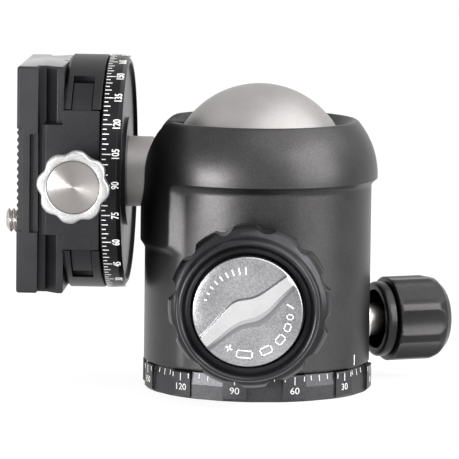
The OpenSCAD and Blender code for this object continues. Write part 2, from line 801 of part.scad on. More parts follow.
module clamp_lock_knob() color("#262627") on_clamp_lock() difference() {
  rotate_extrude() polygon([
    [0, lock_knob_in], [lock_knob_r - 1, lock_knob_in], [lock_knob_r, lock_knob_in + 1],
    [lock_knob_r, lock_knob_in + lock_knob_l - 2], [lock_knob_r - 1.6, lock_knob_in + lock_knob_l],
    [0, lock_knob_in + lock_knob_l]
  ]);
  around(10) translate([lock_knob_r + 0.9, 0]) rod(1.5, lock_knob_in - 1, far);
  rod(lock_shaft_r + seat_gap, 0, lock_knob_in + lock_knob_l - 3 + play);
}

// ---- Plate ----

// Closes a half outline by mirroring it in the Y axis
function mirrored(half) =
  concat(half, [for (i = [len(half) - 1 : -1 : 0]) [-half[i][0], half[i][1]]]);

module plate() color("#303033") on_stem() difference() {
  translate([plate_drop, 0, 0]) along_plate(plate_l) polygon(mirrored([
    [flange_w / 2, plate_in], [flange_w / 2, flange_out], [waist, flange_out + dovetail],
    [waist, band_in], [plate_w / 2, band_in], [plate_w / 2, plate_out - 0.6],
    [plate_w / 2 - 0.6, plate_out]
  ]));
  translate([plate_drop - pad_l / 2, -far, rubber_in]) cube([pad_l, 2 * far, far]);
  for (side = [-1, 1])
    translate([pocket_u - pocket_l / 2, side * plate_w / 2 - pocket_deep, band_in - eps])
      cube([pocket_l, 2 * pocket_deep, pocket_h + eps]);
  translate([camera_u, 0, 0]) {
    rod(camera_slot_r, 0, far);
    rod(camera_head_r + open_gap, 0, camera_head_in + camera_head_h + open_gap);
    rod(camera_clip_r + open_gap, rubber_in, far);
  }
  for (side = [-1, 1]) translate([plate_drop + side * stop_u, 0, 0])
    rod(stop_r + seat_gap, 0, plate_in + stop_l + play);
}

// Rubber pad with ribs across the plate
module plate_pad() color("#1d1d1e") on_stem() difference() {
  translate([plate_drop, 0, 0]) rotate([90, 0, 0]) linear_extrude(plate_w - 0.8, center = true)
    polygon(concat(
      [[rib_run / 2, rubber_in], [-rib_run / 2, rubber_in]],
      [for (i = [0 : 6 * ribs])
        [rib_run * (i / (6 * ribs) - 0.5), plate_out - rib_h * (1 + cos(60 * i)) / 2]]
    ));
  translate([camera_u, 0, 0]) rod(camera_clip_r + open_gap, 0, far);
}

module plate_stop_screws() color("silver") on_stem() for (side = [-1, 1])
  translate([plate_drop + side * stop_u, 0, 0]) {
    rod(stop_r, plate_in, plate_in + stop_l);
    rod(stop_head_r, plate_in - stop_head_h, plate_in);
  }

// Coin-slotted screw with a relieved neck below its thread
module camera_screw() color("silver") on_stem() translate([camera_u, 0, 0]) difference() {
  union() {
    rod(camera_head_r, camera_head_in, camera_head_in + camera_head_h);
    rod(camera_neck_r, camera_head_in, plate_out + 0.1);
    rod(camera_r, plate_out + 0.1, plate_out + camera_l - 0.6);
    translate([0, 0, plate_out + camera_l - 0.6])
      cylinder(r1 = camera_r, r2 = camera_r - 0.6, h = 0.6);
  }
  translate([-0.9, -far, camera_head_in - 1]) cube([1.8, 2 * far, 2.2]);
}

module camera_screw_clip() color("gray") on_stem() translate([camera_u, 0, 0]) difference() {
  tube(camera_clip_r, camera_neck_r + seat_gap, rubber_in + play, camera_clip_out);
  translate([-1.5, 0, 0]) cube([3, far, far]);
}

base_plate();
scale_ring();
tripod_insert();
pan_drum();
base_screws();
lower_washer();
upper_washer();
drum_clip();
housing();
ball_seat();
housing_floor();
wedge_carrier();
carrier_clip();
main_bush();
pan_bush();
pressure_cup();
lock_wedge();
main_knob();
main_spindle();
main_grub_screws();
detent_plunger();
detent_spring();
friction_dial();
dial_shaft();
pan_brake_pad();
pan_knob();
pan_shaft();
pan_grub_screw();
ball_stem();
pan_disc();
disc_bolt();
clamp_washer();
clamp_body();
jaw_springs();
moving_jaw();
jaw_pins();
clamp_knob();
clamp_knob_cap();
clamp_screw();
clamp_lock_pad();
clamp_lock_knob();
clamp_lock_shaft();
plate();
plate_pad();
plate_stop_screws();
camera_screw();
camera_screw_clip();
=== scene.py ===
# Tripod ball head with a panning base, a drop notch, a friction dial and a panning clamp.
# Metres, Z up. The stem lies in the drop notch and points to -X; the main knob points to -Y.
from math import atan2, cos, exp, hypot, pi, radians, sin, sqrt

import bmesh
import bpy
from mathutils import Matrix, Vector


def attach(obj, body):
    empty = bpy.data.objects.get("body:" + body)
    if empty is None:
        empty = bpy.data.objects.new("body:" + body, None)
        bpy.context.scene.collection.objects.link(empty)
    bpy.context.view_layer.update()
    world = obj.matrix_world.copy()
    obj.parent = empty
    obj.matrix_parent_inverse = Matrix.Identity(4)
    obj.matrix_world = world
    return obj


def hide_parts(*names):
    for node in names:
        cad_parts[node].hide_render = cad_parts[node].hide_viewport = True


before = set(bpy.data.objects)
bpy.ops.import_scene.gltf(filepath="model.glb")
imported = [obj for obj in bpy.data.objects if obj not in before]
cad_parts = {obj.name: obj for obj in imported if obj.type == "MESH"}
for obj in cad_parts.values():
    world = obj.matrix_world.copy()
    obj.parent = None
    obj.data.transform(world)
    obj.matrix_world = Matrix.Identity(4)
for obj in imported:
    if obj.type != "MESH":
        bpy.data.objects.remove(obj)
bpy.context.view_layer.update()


# ---- Base plate and its screws ----
# The plate that stands on the tripod: aluminium, faced on a lathe, bead-blasted and anodised
# black, with a steel thread insert and four screws that hold the pan drum from below.
MM = 0.001
CLOUD_SIZE = 14.0
GLOSS_SWING = 0.05


def linear(code):
    """An sRGB hex colour as the linear RGBA that a shader takes."""
    channels = [int(code[i:i + 2], 16) / 255 for i in (1, 3, 5)]
    return [c / 12.92 if c <= 0.04045 else ((c + 0.055) / 1.055) ** 2.4 for c in channels] + [1]


def add(tree, kind, inputs=None, **settings):
    """Adds a node. A (node, output) pair in inputs is linked, and anything else is a value."""
    made = tree.nodes.new(kind)
    for name, value in settings.items():
        setattr(made, name, value)
    for socket, value in (inputs or {}).items():
        if isinstance(value, tuple) and isinstance(value[0], bpy.types.Node):
            tree.links.new(value[0].outputs[value[1]], made.inputs[socket])
        else:
            made.inputs[socket].default_value = value
    return made


def new_finish(name, metallic, roughness):
    """A material with its shader, and the object's own coordinates for its patterns."""
    finish = bpy.data.materials.new(name)
    finish.use_nodes = True
    tree = finish.node_tree
    shader = tree.nodes["Principled BSDF"]
    shader.inputs["Metallic"].default_value = metallic
    shader.inputs["Roughness"].default_value = roughness
    return finish, tree, shader, (add(tree, "ShaderNodeTexCoord"), "Object")


def blasted(name, dark, light, metallic, roughness, grit=0.4, edge=0.2, relief=0.02):
    """A surface with a fine grain, such as bead-blasted metal. grit is the size of its dimples,
    relief their depth and edge the radius of broken edges, in millimetres. Real dimples are
    near 0.1 mm across, and they are drawn a few times coarser so that they show. Faint clouds
    in tone and gloss are what the bath and handling leave."""
    finish, tree, shader, place = new_finish(name, metallic, roughness)
    dimples = add(tree, "ShaderNodeTexNoise",
                  {"Vector": place, "Scale": 1 / (grit * MM), "Detail": 2.0})
    clouds = add(tree, "ShaderNodeTexNoise",
                 {"Vector": place, "Scale": 1 / (CLOUD_SIZE * MM), "Detail": 3.0})
    blend = add(tree, "ShaderNodeMath", {0: (dimples, "Fac"), 1: (clouds, "Fac")},
                operation="ADD")
    shade = add(tree, "ShaderNodeMapRange",
                {"Value": (blend, "Value"), "From Min": 0.7, "From Max": 1.3})
    colour = add(tree, "ShaderNodeMix",
                 {"Factor": (shade, "Result"), "A": linear(dark), "B": linear(light)},
                 data_type="RGBA")
    tree.links.new(colour.outputs["Result"], shader.inputs["Base Color"])
    gloss = add(tree, "ShaderNodeMapRange",
                {"Value": (clouds, "Fac"), "To Min": roughness - GLOSS_SWING,
                 "To Max": roughness + GLOSS_SWING})
    tree.links.new(gloss.outputs["Result"], shader.inputs["Roughness"])
    rounded = add(tree, "ShaderNodeBevel", {"Radius": edge * MM}, samples=4)
    bump = add(tree, "ShaderNodeBump", {"Height": (dimples, "Fac"), "Strength": 0.5,
                                        "Distance": relief * MM, "Normal": (rounded, "Normal")})
    tree.links.new(bump.outputs["Normal"], shader.inputs["Normal"])
    return finish


def dress(finish, *names):
    """Gives CAD nodes their finish."""
    for name in names:
        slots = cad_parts[name].data.materials
        slots.clear()
        slots.append(finish)


# Black anodising on blasted aluminium: a dark grey that spreads the light softly.
base_black = blasted("anodised_base", "#38383A", "#4B4B4D", 0.9, 0.4)
dress(base_black, "base_plate", "scale_ring")

# Black oxide on the screws: a thin coat, slightly oily, that leaves the steel a little gloss.
black_oxide = blasted("black_oxide_steel", "#1B1B1D", "#2A2A2C", 0.9, 0.33, grit=0.25, edge=0.1)
dress(black_oxide, "base_screws", "main_grub_screws", "pan_grub_screw", "disc_bolt")


# ---- Tripod thread ----
# A stainless insert pressed into the base, with the 3/8 inch thread of a tripod. The thread
# is cut right through it by a tap, whose profile is wound up a helix.
INSERT_R, INSERT_L = 6.5, 11.0
TAP_R, TAPPED_R = 4.75, 4.02
COARSE_PITCH = 25.4 / 16


def stand(bm, name):
    """Sets a bmesh into the scene as an object."""
    bmesh.ops.remove_doubles(bm, verts=bm.verts, dist=0.0001)
    bmesh.ops.recalc_face_normals(bm, faces=bm.faces)
    mesh = bpy.data.meshes.new(name)
    bm.to_mesh(mesh)
    bm.free()
    piece = bpy.data.objects.new(name, mesh)
    bpy.context.scene.collection.objects.link(piece)
    return piece


def finish_mesh(bm, name, body, finishes, sharp=32, cutters=()):
    """Turns a bmesh in millimetres into a piece that rides on a body. The cutters are taken
    away from it, and edges that bend more than sharp degrees stay crisp."""
    piece = stand(bm, name)
    for cutter in cutters:
        tool = stand(cutter, "cutter")
        cut = piece.modifiers.new("cut", "BOOLEAN")
        cut.object, cut.solver = tool, "EXACT"
        shaped = piece.evaluated_get(bpy.context.evaluated_depsgraph_get())
        mesh = bpy.data.meshes.new_from_object(shaped)
        piece.modifiers.remove(cut)
        piece.data = mesh
        bpy.data.objects.remove(tool)
    bm = bmesh.new()
    bm.from_mesh(piece.data)
    for face in bm.faces:
        face.smooth = True
    for line in bm.edges:
        line.smooth = len(line.link_faces) == 2 and line.calc_face_angle(0) < radians(sharp)
    bm.transform(Matrix.Scale(MM, 4))
    bm.to_mesh(piece.data)
    bm.free()
    kinds = [face.material_index for face in piece.data.polygons]
    piece.data.materials.clear()
    for finish in finishes:
        piece.data.materials.append(finish)
    piece.data.polygons.foreach_set("material_index", kinds)
    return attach(piece, body)


def wind_thread(root, crest, pitch, low, high, steps=40):
    """A threaded wall round Z from low to high, as a bmesh that is open at both ends. Root
    and crest are its radii, and the profile gives them along one pitch."""
    bm = bmesh.new()
    turns = int((high - low) / pitch) + 3
    outline = [(crest, 0), (crest, 0.12), (root, 0.44), (root, 0.56), (crest, 0.88), (crest, 1)]
    profile = [bm.verts.new((r, 0, low + (share - 1) * pitch)) for r, share in outline]
    lines = [bm.edges.new(pair) for pair in zip(profile, profile[1:])]
    bmesh.ops.spin(bm, geom=profile + lines, cent=(0, 0, 0), axis=(0, 0, 1),
                   dvec=(0, 0, pitch / steps), angle=2 * pi * turns, steps=steps * turns)
    bmesh.ops.remove_doubles(bm, verts=bm.verts, dist=0.001)
    for height, side in ((low, -1), (high, 1)):
        bmesh.ops.bisect_plane(bm, geom=bm.verts[:] + bm.edges[:] + bm.faces[:], dist=0.0001,
                               plane_co=(0, 0, height), plane_no=(0, 0, side),
                               clear_outer=True)
    bmesh.ops.remove_doubles(bm, verts=bm.verts, dist=0.001)
    return bm


tap = wind_thread(TAP_R, TAPPED_R, COARSE_PITCH, -1, INSERT_L + 1)
bmesh.ops.holes_fill(tap, edges=[e for e in tap.edges if e.is_boundary])
thread = bmesh.new()
bmesh.ops.create_cone(thread, cap_ends=True, segments=96, radius1=INSERT_R, radius2=INSERT_R,
                      depth=INSERT_L, matrix=Matrix.Translation((0, 0, INSERT_L / 2)))

# Turned steel: smooth and cold, with clear highlights.
steel = blasted("turned_steel", "#8E8C89", "#B4B1AC", 1.0, 0.3, grit=0.3, edge=0.1, relief=0.01)
tripod_thread = finish_mesh(thread, "tripod_thread", "base", [steel], cutters=[tap])
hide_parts("tripod_insert")


# ---- Inner parts of the base and the housing ----
# Turned and milled aluminium left bright, steel shafts and clips, acetal washers and brass
# pads. They show only through the notch and from below.

# Bright milled aluminium: pale, with a soft shine.
bright_metal = blasted("milled_aluminium", "#A4A4A6", "#C6C6C8", 1.0, 0.38, grit=0.5)
dress(bright_metal, "pan_drum", "housing_floor", "wedge_carrier", "main_bush", "pan_bush")
dress(steel, "lock_wedge", "main_spindle", "detent_plunger", "dial_shaft", "pan_shaft",
      "clamp_screw", "clamp_lock_shaft", "jaw_pins", "plate_stop_screws")

# Drawn and hardened spring steel: smooth, and a shade darker.
spring_steel = blasted("spring_steel", "#6E6C6A", "#8C8A87", 1.0, 0.28, grit=0.2, edge=0.05)
dress(spring_steel, "drum_clip", "carrier_clip", "detent_spring", "jaw_springs",
      "camera_screw_clip", "clamp_washer")

# Moulded acetal: a dense, slightly waxy plastic with a fine matt skin.
acetal = blasted("moulded_acetal", "#3A3937", "#4A4946", 0.0, 0.45, grit=0.3, edge=0.15)
acetal.node_tree.nodes["Principled BSDF"].inputs["IOR"].default_value = 1.48
dress(acetal, "lower_washer", "upper_washer", "ball_seat", "pressure_cup")

# Turned brass: a warm yellow with a satin shine.
brass = blasted("turned_brass", "#9C7C42", "#BD9C5C", 1.0, 0.35, grit=0.3)
dress(brass, "pan_brake_pad", "clamp_lock_pad")


# ---- Scale on the base ring ----
# Degree marks and numbers cut into the ring by laser and filled with white enamel. Numbers
# stand on the raised blocks and short marks run over the flats between them.
RING_R, RING_H = 30.6, 7.0
BLOCK_STEP, BLOCK_HALF = 30, 6.0
FLAT_IN, FLAT_FOOT, FLAT_LEAN = 1.0, 0.55, 0.5
BASE_TURN = -8.0
BASE_MARK_W, BASE_MARK_GAP = 0.26, 0.35
BASE_MARK_L = 2.1, 1.6, 1.25
BASE_FIGURE_Z, BASE_FIGURE_H = 3.0, 1.7
PAINT = 0.04
THIN_SPOT = 0.5

# White enamel wiped into a cut: matt, a little uneven where the filling is thin.
enamel, tree, shader, place = new_finish("white_enamel", 0.0, 0.55)
thin = add(tree, "ShaderNodeTexNoise", {"Vector": place, "Scale": 1 / (THIN_SPOT * MM)})
colour = add(tree, "ShaderNodeMix", {"Factor": (thin, "Fac"), "A": linear("#B9B9B6"),
                                     "B": linear("#F2F2EF")}, data_type="RGBA")
tree.links.new(colour.outputs["Result"], shader.inputs["Base Color"])
bump = add(tree, "ShaderNodeBump", {"Height": (thin, "Fac"), "Strength": 0.3,
                                    "Distance": 0.02 * MM})
tree.links.new(bump.outputs["Normal"], shader.inputs["Normal"])


def stroke(bm, x, y, width, height, lean=0):
    """A thin bar of paint centred at x, y and turned by lean in degrees."""
    place = Matrix.Translation((x, y, 0)) @ Matrix.Rotation(radians(lean), 4, "Z")
    size = Matrix.Diagonal((width, height, 2 * PAINT, 1))
    bmesh.ops.create_cube(bm, size=1, matrix=place @ size)


def verts_in(geom):
    """The vertices in what an operator gives back."""
    return [part for part in geom if isinstance(part, bmesh.types.BMVert)]


def draw_out(bm, faces, way):
    """Draws flat faces out into a solid. Returns the vertices that moved."""
    moved = verts_in(bmesh.ops.extrude_face_region(bm, geom=faces)["geom"])
    bmesh.ops.translate(bm, verts=moved, vec=way)
    return moved


def put_into(bm, other):
    """Adds all that another bmesh holds."""
    passing = bpy.data.meshes.new("passing")
    other.to_mesh(passing)
    other.free()
    bm.from_mesh(passing)
    bpy.data.meshes.remove(passing)


def figure(bm, number, x, y, height, stretch, weight):
    """A number in plain figures, centred at x, y, widened by stretch and made bolder by
    weight."""
    curve = bpy.data.curves.new("figure", "FONT")
    curve.body = str(number)
    curve.align_x, curve.align_y = "CENTER", "CENTER"
    curve.size, curve.offset = 1, weight
    holder = bpy.data.objects.new("figure", curve)
    flat = bpy.data.meshes.new_from_object(holder)
    bpy.data.objects.remove(holder)
    bpy.data.curves.remove(curve)
    glyphs = bmesh.new()
    glyphs.from_mesh(flat)
    bpy.data.meshes.remove(flat)
    bmesh.ops.remove_doubles(glyphs, verts=glyphs.verts, dist=0.0001)
    draw_out(glyphs, glyphs.faces[:], (0, 0, 2 * PAINT))
    bmesh.ops.translate(glyphs, verts=glyphs.verts, vec=(0, 0, -PAINT))
    ys = [v.co.y for v in glyphs.verts]
    size = height / (max(ys) - min(ys))
    middle = (max(ys) + min(ys)) / 2
    glyphs.transform(Matrix.Translation((x, y, 0)) @ Matrix.Diagonal((size * stretch, size, 1, 1))
                     @ Matrix.Translation((0, -middle, 0)))
    put_into(bm, glyphs)


def wrap(bm, radius, turn=0, surface=None):
    """Bends flat marks round Z: X runs round to the right as seen from -Y, and Y is up.
    surface gives the radius at an angle in degrees and a height, where it isn't even."""
    for vert in bm.verts:
        x, y, z = vert.co
        angle = radians(turn) + x / radius
        out = z + (surface(angle * 180 / pi, y) if surface else radius)
        vert.co = (out * sin(angle), -out * cos(angle), y)


def ring_surface(turn, height):
    """Radius of the ring: its blocks are round, and the flats between them lean in above."""
    off = (turn - BASE_TURN + BLOCK_STEP / 2) % BLOCK_STEP - BLOCK_STEP / 2
    if abs(off) <= BLOCK_HALF:
        return RING_R
    from_flat = radians(BLOCK_STEP / 2 - abs(off))
    lean = max(0, height / RING_H - FLAT_FOOT) / (1 - FLAT_FOOT) * FLAT_LEAN
    return (RING_R - FLAT_IN - lean) / cos(from_flat)


marks = bmesh.new()
for degrees in range(0, 360, 5):
    around = radians(BASE_TURN + 90 - degrees) * RING_R
    long = BASE_MARK_L[0 if degrees % 30 == 0 else 1 if degrees % 15 == 0 else 2]
    stroke(marks, around, RING_H - BASE_MARK_GAP - long / 2, BASE_MARK_W, long)
    if degrees % BLOCK_STEP == 0:
        figure(marks, degrees, around, BASE_FIGURE_Z, BASE_FIGURE_H, stretch=1.1, weight=0.0)
wrap(marks, RING_R, surface=ring_surface)
finish_mesh(marks, "base_marks", "base", [enamel])


# ---- Housing ----
# The body, turned from one bar of aluminium. A rounded collar stands out round its mouth and
# runs down as a frame round the drop notch. It is bead-blasted and anodised black.
HOUSING_R, HOUSING_LOW = 29.9, 7.3
COLLAR_R = 31.5
LIP_R, LIP_Z = 26.0, 71.5
MOUTH_R, MOUTH_LOW = 22.0, 67.6
BORE_R, BORE_LOW = 24.3, 31.7
FLOOR_R, FLOOR_LOW = 24.7, 12.0
SKIRT_R = 25.6
BALL_Z, KNOB_Z = 57.0, 26.6
PAN_TURN, PAN_Z = 25, 16.5
KNOB_BUSH_R, PAN_BUSH_R = 7.52, 6.32
NOTCH_R, EASE_R = 10.0, 3.0
NOTCH_IN, NOTCH_RUN = -15, 40
INDEX_TURN, INDEX_Z = 62, 9.4
WALL_STEP = 0.42
# Where the frame's sides, its top edge under the notch and the collar begin to stand out, and
# over what run each of them does.
SIDE_FOOT, SIDE_RUN, SIDE_BLEND = 28.6, 4.7, 0.3
FRAME_FOOT, FRAME_RUN, STEP_RISE = 37.2, 3.4, 0.42
COLLAR_FOOT, COLLAR_RUN, COLLAR_BLEND = 54.3, 2.0, 1.1
ON_KNOB = Matrix.Translation((0, 0, KNOB_Z)) @ Matrix.Rotation(radians(90), 4, "X")
ON_PAN = (Matrix.Rotation(radians(PAN_TURN), 4, "Z") @ Matrix.Translation((0, 0, PAN_Z))
          @ Matrix.Rotation(radians(90), 4, "Y"))


def spin_profile(outline, steps=288):
    """A closed outline of (radius, height) turned round Z."""
    bm = bmesh.new()
    rim = [bm.verts.new((r, 0, z)) for r, z in outline]
    lines = [bm.edges.new(pair) for pair in zip(rim, rim[1:] + rim[:1])]
    bmesh.ops.spin(bm, geom=rim + lines, cent=(0, 0, 0), axis=(0, 0, 1), angle=2 * pi,
                   steps=steps, use_merge=True)
    bmesh.ops.remove_doubles(bm, verts=bm.verts, dist=0.0005)
    bmesh.ops.dissolve_degenerate(bm, edges=bm.edges, dist=0.0005)
    return bm


def set_radius(vert, new):
    """Moves a vertex in or out to a new distance from Z."""
    scale = new / vert.co.xy.length
    vert.co.x *= scale
    vert.co.y *= scale


def soft_max(first, second, reach):
    """The larger of two values, with a rounded change from one to the other."""
    near = max(reach - abs(first - second), 0) / reach
    return max(first, second) + near * near * reach / 4


def frame_rise(turn, height):
    """How far collar and frame stand out, from 0 on the body to 1, at an angle from -X.
    Under the notch a low step carries the frame's edges on down to the base."""
    side = (SIDE_FOOT - radians(abs(turn)) * (HOUSING_R + COLLAR_R) / 2) / SIDE_RUN
    level = STEP_RISE + max((height - FRAME_FOOT) / FRAME_RUN, 0)
    surround = -soft_max(-side, -level, SIDE_BLEND)
    rise = soft_max(surround, (height - COLLAR_FOOT) / COLLAR_RUN, COLLAR_BLEND)
    return min(max(rise, 0), 1) ** 1.7


def rod(radius, low, high, place=Matrix(), steps=96):
    """A plain cylinder along Z from low to high."""
    bm = bmesh.new()
    middle = Matrix.Translation((0, 0, (low + high) / 2))
    bmesh.ops.create_cone(bm, cap_ends=True, segments=steps, radius1=radius, radius2=radius,
                          depth=high - low, matrix=place @ middle)
    return bm


# The crown is one arc from the collar, where it is widest, to the lip round the ball.
crown_bend = (COLLAR_R ** 2 - LIP_R ** 2 - (LIP_Z - BALL_Z) ** 2) / (2 * (COLLAR_R - LIP_R))
crown_r = COLLAR_R - crown_bend
crown = [(crown_bend + crown_r * cos(radians(a)), BALL_Z + crown_r * sin(radians(a)))
         for a in range(0, 41)]
wall = [(HOUSING_R, HOUSING_LOW + 0.3)]
while wall[-1][1] < BALL_Z - WALL_STEP - 0.03:
    wall.append((HOUSING_R, wall[-1][1] + WALL_STEP))
body = spin_profile(
    [(HOUSING_R - 0.3, HOUSING_LOW)] + wall + crown
    + [(LIP_R - 0.05, LIP_Z - 0.12), (LIP_R - 0.2, LIP_Z), (LIP_R - 0.75, LIP_Z),
       (LIP_R - 1, LIP_Z - 0.25), (MOUTH_R, MOUTH_LOW + 0.6), (MOUTH_R, MOUTH_LOW),
       (BORE_R, MOUTH_LOW), (BORE_R, BORE_LOW), (FLOOR_R, BORE_LOW), (FLOOR_R, FLOOR_LOW),
       (SKIRT_R, FLOOR_LOW), (SKIRT_R, HOUSING_LOW)], steps=360)
for vert in body.verts:
    radius, z = vert.co.xy.length, vert.co.z
    if radius > HOUSING_R - 0.35 and z < BALL_Z - 0.1:
        turn = atan2(vert.co.y, -vert.co.x) * 180 / pi
        set_radius(vert, radius + (COLLAR_R - HOUSING_R) * frame_rise(turn, z))

# The notch is a slot with a round end, and its upper corners are eased.
notch = bmesh.new()
edge = [(NOTCH_R * cos(radians(a)), -NOTCH_R * sin(radians(a))) for a in range(180, -1, -4)]
ease = [(NOTCH_R + EASE_R * (1 - cos(radians(a))),
         LIP_Z - BALL_Z - EASE_R * (1 - sin(radians(a)))) for a in range(0, 91, 15)]
edge += ease + [(NOTCH_R + EASE_R, 30), (-NOTCH_R - EASE_R, 30)]
edge += [(-y, z) for y, z in reversed(ease)]
side = notch.faces.new([notch.verts.new((NOTCH_IN, y, BALL_Z + z)) for y, z in edge])
draw_out(notch, [side], (-NOTCH_RUN, 0, 0))

# The same anodising over coarser blasting: its grain shows, and edges catch a thin light.
housing_black = blasted("anodised_housing", "#373637", "#464545", 0.9, 0.37, grit=0.45, edge=0.3,
                        relief=0.035)
body_shell = finish_mesh(
    body, "body_shell", "housing", [housing_black], sharp=50,
    cutters=[notch, rod(KNOB_BUSH_R, 18, 60, ON_KNOB), rod(PAN_BUSH_R, 18, 60, ON_PAN)])
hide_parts("housing")

# One index line is cut above the scale.
line = bmesh.new()
stroke(line, 0, INDEX_Z, 0.4, 2.8)
wrap(line, HOUSING_R, INDEX_TURN)
finish_mesh(line, "index_line", "housing", [enamel])


# ---- Ball and stem ----
# One piece of aluminium, turned, finely blasted and hard-anodised to a slightly warm grey.
# The satin skin gives the ball broad, soft highlights.

# Hard anodising over fine blasting: a stone grey with hardly any grain.
ball_grey = blasted("hard_anodised_ball", "#918E8D", "#A09D9C", 0.85, 0.45, grit=0.3, relief=0.01)
dress(ball_grey, "ball_stem")


# ---- Main knob ----
# A lobed grip of black anodised aluminium, clamped on its spindle. Round hollows are milled
# between the lobes and run out in the shoulder; the smooth rim in front frames the dial.
KNOB_R, RIM_R, DIAL_R = 21.25, 18.5, 14.5
KNOB_BACK, KNOB_STEP, KNOB_FRONT = 32.2, 43.2, 49.4
SPINDLE_R, DIAL_GAP = 5.02, 0.32
HOLLOWS, HOLLOW_TURN = 12, 19
HOLLOW_OUT, HOLLOW_R = 1.4, 2.9


def soften(outline, step=0.5, rounds=0.25):
    """An outline with its corners cut back by rounds and its long sides divided every step."""
    cut = []
    count = len(outline)
    for i, (r, z) in enumerate(outline):
        for other in (outline[i - 1], outline[(i + 1) % count]):
            reach = hypot(other[0] - r, other[1] - z)
            share = min(rounds, reach * 0.4) / reach if r > 0.001 else 0
            cut.append((r + (other[0] - r) * share, z + (other[1] - z) * share))
    fine = []
    for (r, z), (next_r, next_z) in zip(cut, cut[1:] + cut[:1]):
        parts = max(1, int(hypot(next_r - r, next_z - z) / step))
        fine += [(r + (next_r - r) * k / parts, z + (next_z - z) * k / parts)
                 for k in range(parts)]
    return fine


def mill_hollows(bm, count, turn, circle, cutter, low, high, run_out=0.01, blend=0.5):
    """Mills round hollows along a spun grip. The cutter stands on a circle and lifts out over
    run_out at both ends, and the edges that it leaves are blended into the grip."""
    for vert in bm.verts:
        radius, z = vert.co.xy.length, vert.co.z
        if radius < 0.01:
            continue
        step = 2 * pi / count
        off = (atan2(vert.co.y, vert.co.x) - radians(turn) + step / 2) % step - step / 2
        inside = cutter ** 2 - (circle * sin(off)) ** 2
        if inside <= 0 or z < low or z > high:
            continue
        out = max(0, 1 - (z - low) / run_out, 1 - (high - z) / run_out)
        wall = circle * cos(off) - sqrt(inside) + out * out * cutter
        near = max(blend - abs(radius - wall), 0)
        new = min(radius, wall) - near * near / (4 * blend)
        if new < radius:
            set_radius(vert, new)


grip = spin_profile(soften([
    (SPINDLE_R, KNOB_BACK), (KNOB_R - 3, KNOB_BACK), (KNOB_R - 0.6, KNOB_BACK + 1.6),
    (KNOB_R, KNOB_BACK + 3), (KNOB_R, KNOB_STEP - 3.4), (KNOB_R - 1.1, KNOB_STEP - 0.9),
    (RIM_R + 0.1, KNOB_STEP), (RIM_R, KNOB_FRONT - 1.2), (RIM_R - 0.55, KNOB_FRONT - 0.1),
    (RIM_R - 1.1, KNOB_FRONT), (DIAL_R + 1.5, KNOB_FRONT - 1.9),
    (DIAL_R + DIAL_GAP, KNOB_FRONT - 2.2), (DIAL_R + DIAL_GAP, KNOB_STEP - 0.1),
    (SPINDLE_R, KNOB_STEP - 0.1)]), steps=360)
mill_hollows(grip, HOLLOWS, HOLLOW_TURN, KNOB_R + HOLLOW_OUT, HOLLOW_R, KNOB_BACK - 1,
             KNOB_STEP + 1, blend=0.4)
grip.transform(ON_KNOB)

# Finer blasting under the anodising: a darker, smoother black with longer highlights.
knob_black = blasted("anodised_knob", "#2C2B2D", "#39383A", 0.9, 0.3, grit=0.35)
main_grip = finish_mesh(grip, "main_grip", "main_knob", [knob_black])
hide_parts("main_knob")


# ---- Friction dial ----
# A disc of blasted and clear-anodised aluminium in the mouth of the main knob. An S-shaped
# finger ridge, cut smooth and given painted light and shade, crosses it, and the scale grows
# towards the plus sign.
DIAL_FLOOR, DIAL_TOP = 43.15, 49.9
DIAL_SHAFT_R = 2.02
RIDGE_H, RIDGE_TURN, RIDGE_REACH = 1.6, 37.0, DIAL_R - 0.55
RIDGE_HALF, SWELL, SWELL_AT = 1.5, 2.5, -1.5
CROWN_LOW, CROWN_HIGH, SLOPE_LOW = -0.3, 0.8, -0.6
STEEP_FOOT, EASY_SHARE, EASY_H, FOOT_OUT = 0.45, 0.34, 0.86, 0.9
DIAL_LINE_W, DIAL_BOX_R, TICK_END_R = 0.36, 11.0, 11.6


def ridge_edge(along):
    """How far the ridge's upper edge lies from its middle line. It swells near the middle, and
    the same edge turned half round is the lower one, so the ridge makes an S."""
    spread = 8.0 if along < SWELL_AT else 4.0
    return RIDGE_HALF + SWELL * exp(-((along - SWELL_AT) / spread) ** 2)


dial = spin_profile(soften([
    (DIAL_SHAFT_R, DIAL_FLOOR), (DIAL_R - 0.2, DIAL_FLOOR), (DIAL_R - 0.2, DIAL_TOP - 0.35),
    (DIAL_R - 0.5, DIAL_TOP), (0.01, DIAL_TOP), (0.01, DIAL_FLOOR + 2),
    (DIAL_SHAFT_R, DIAL_FLOOR + 2)], step=4, rounds=0.1), steps=192)

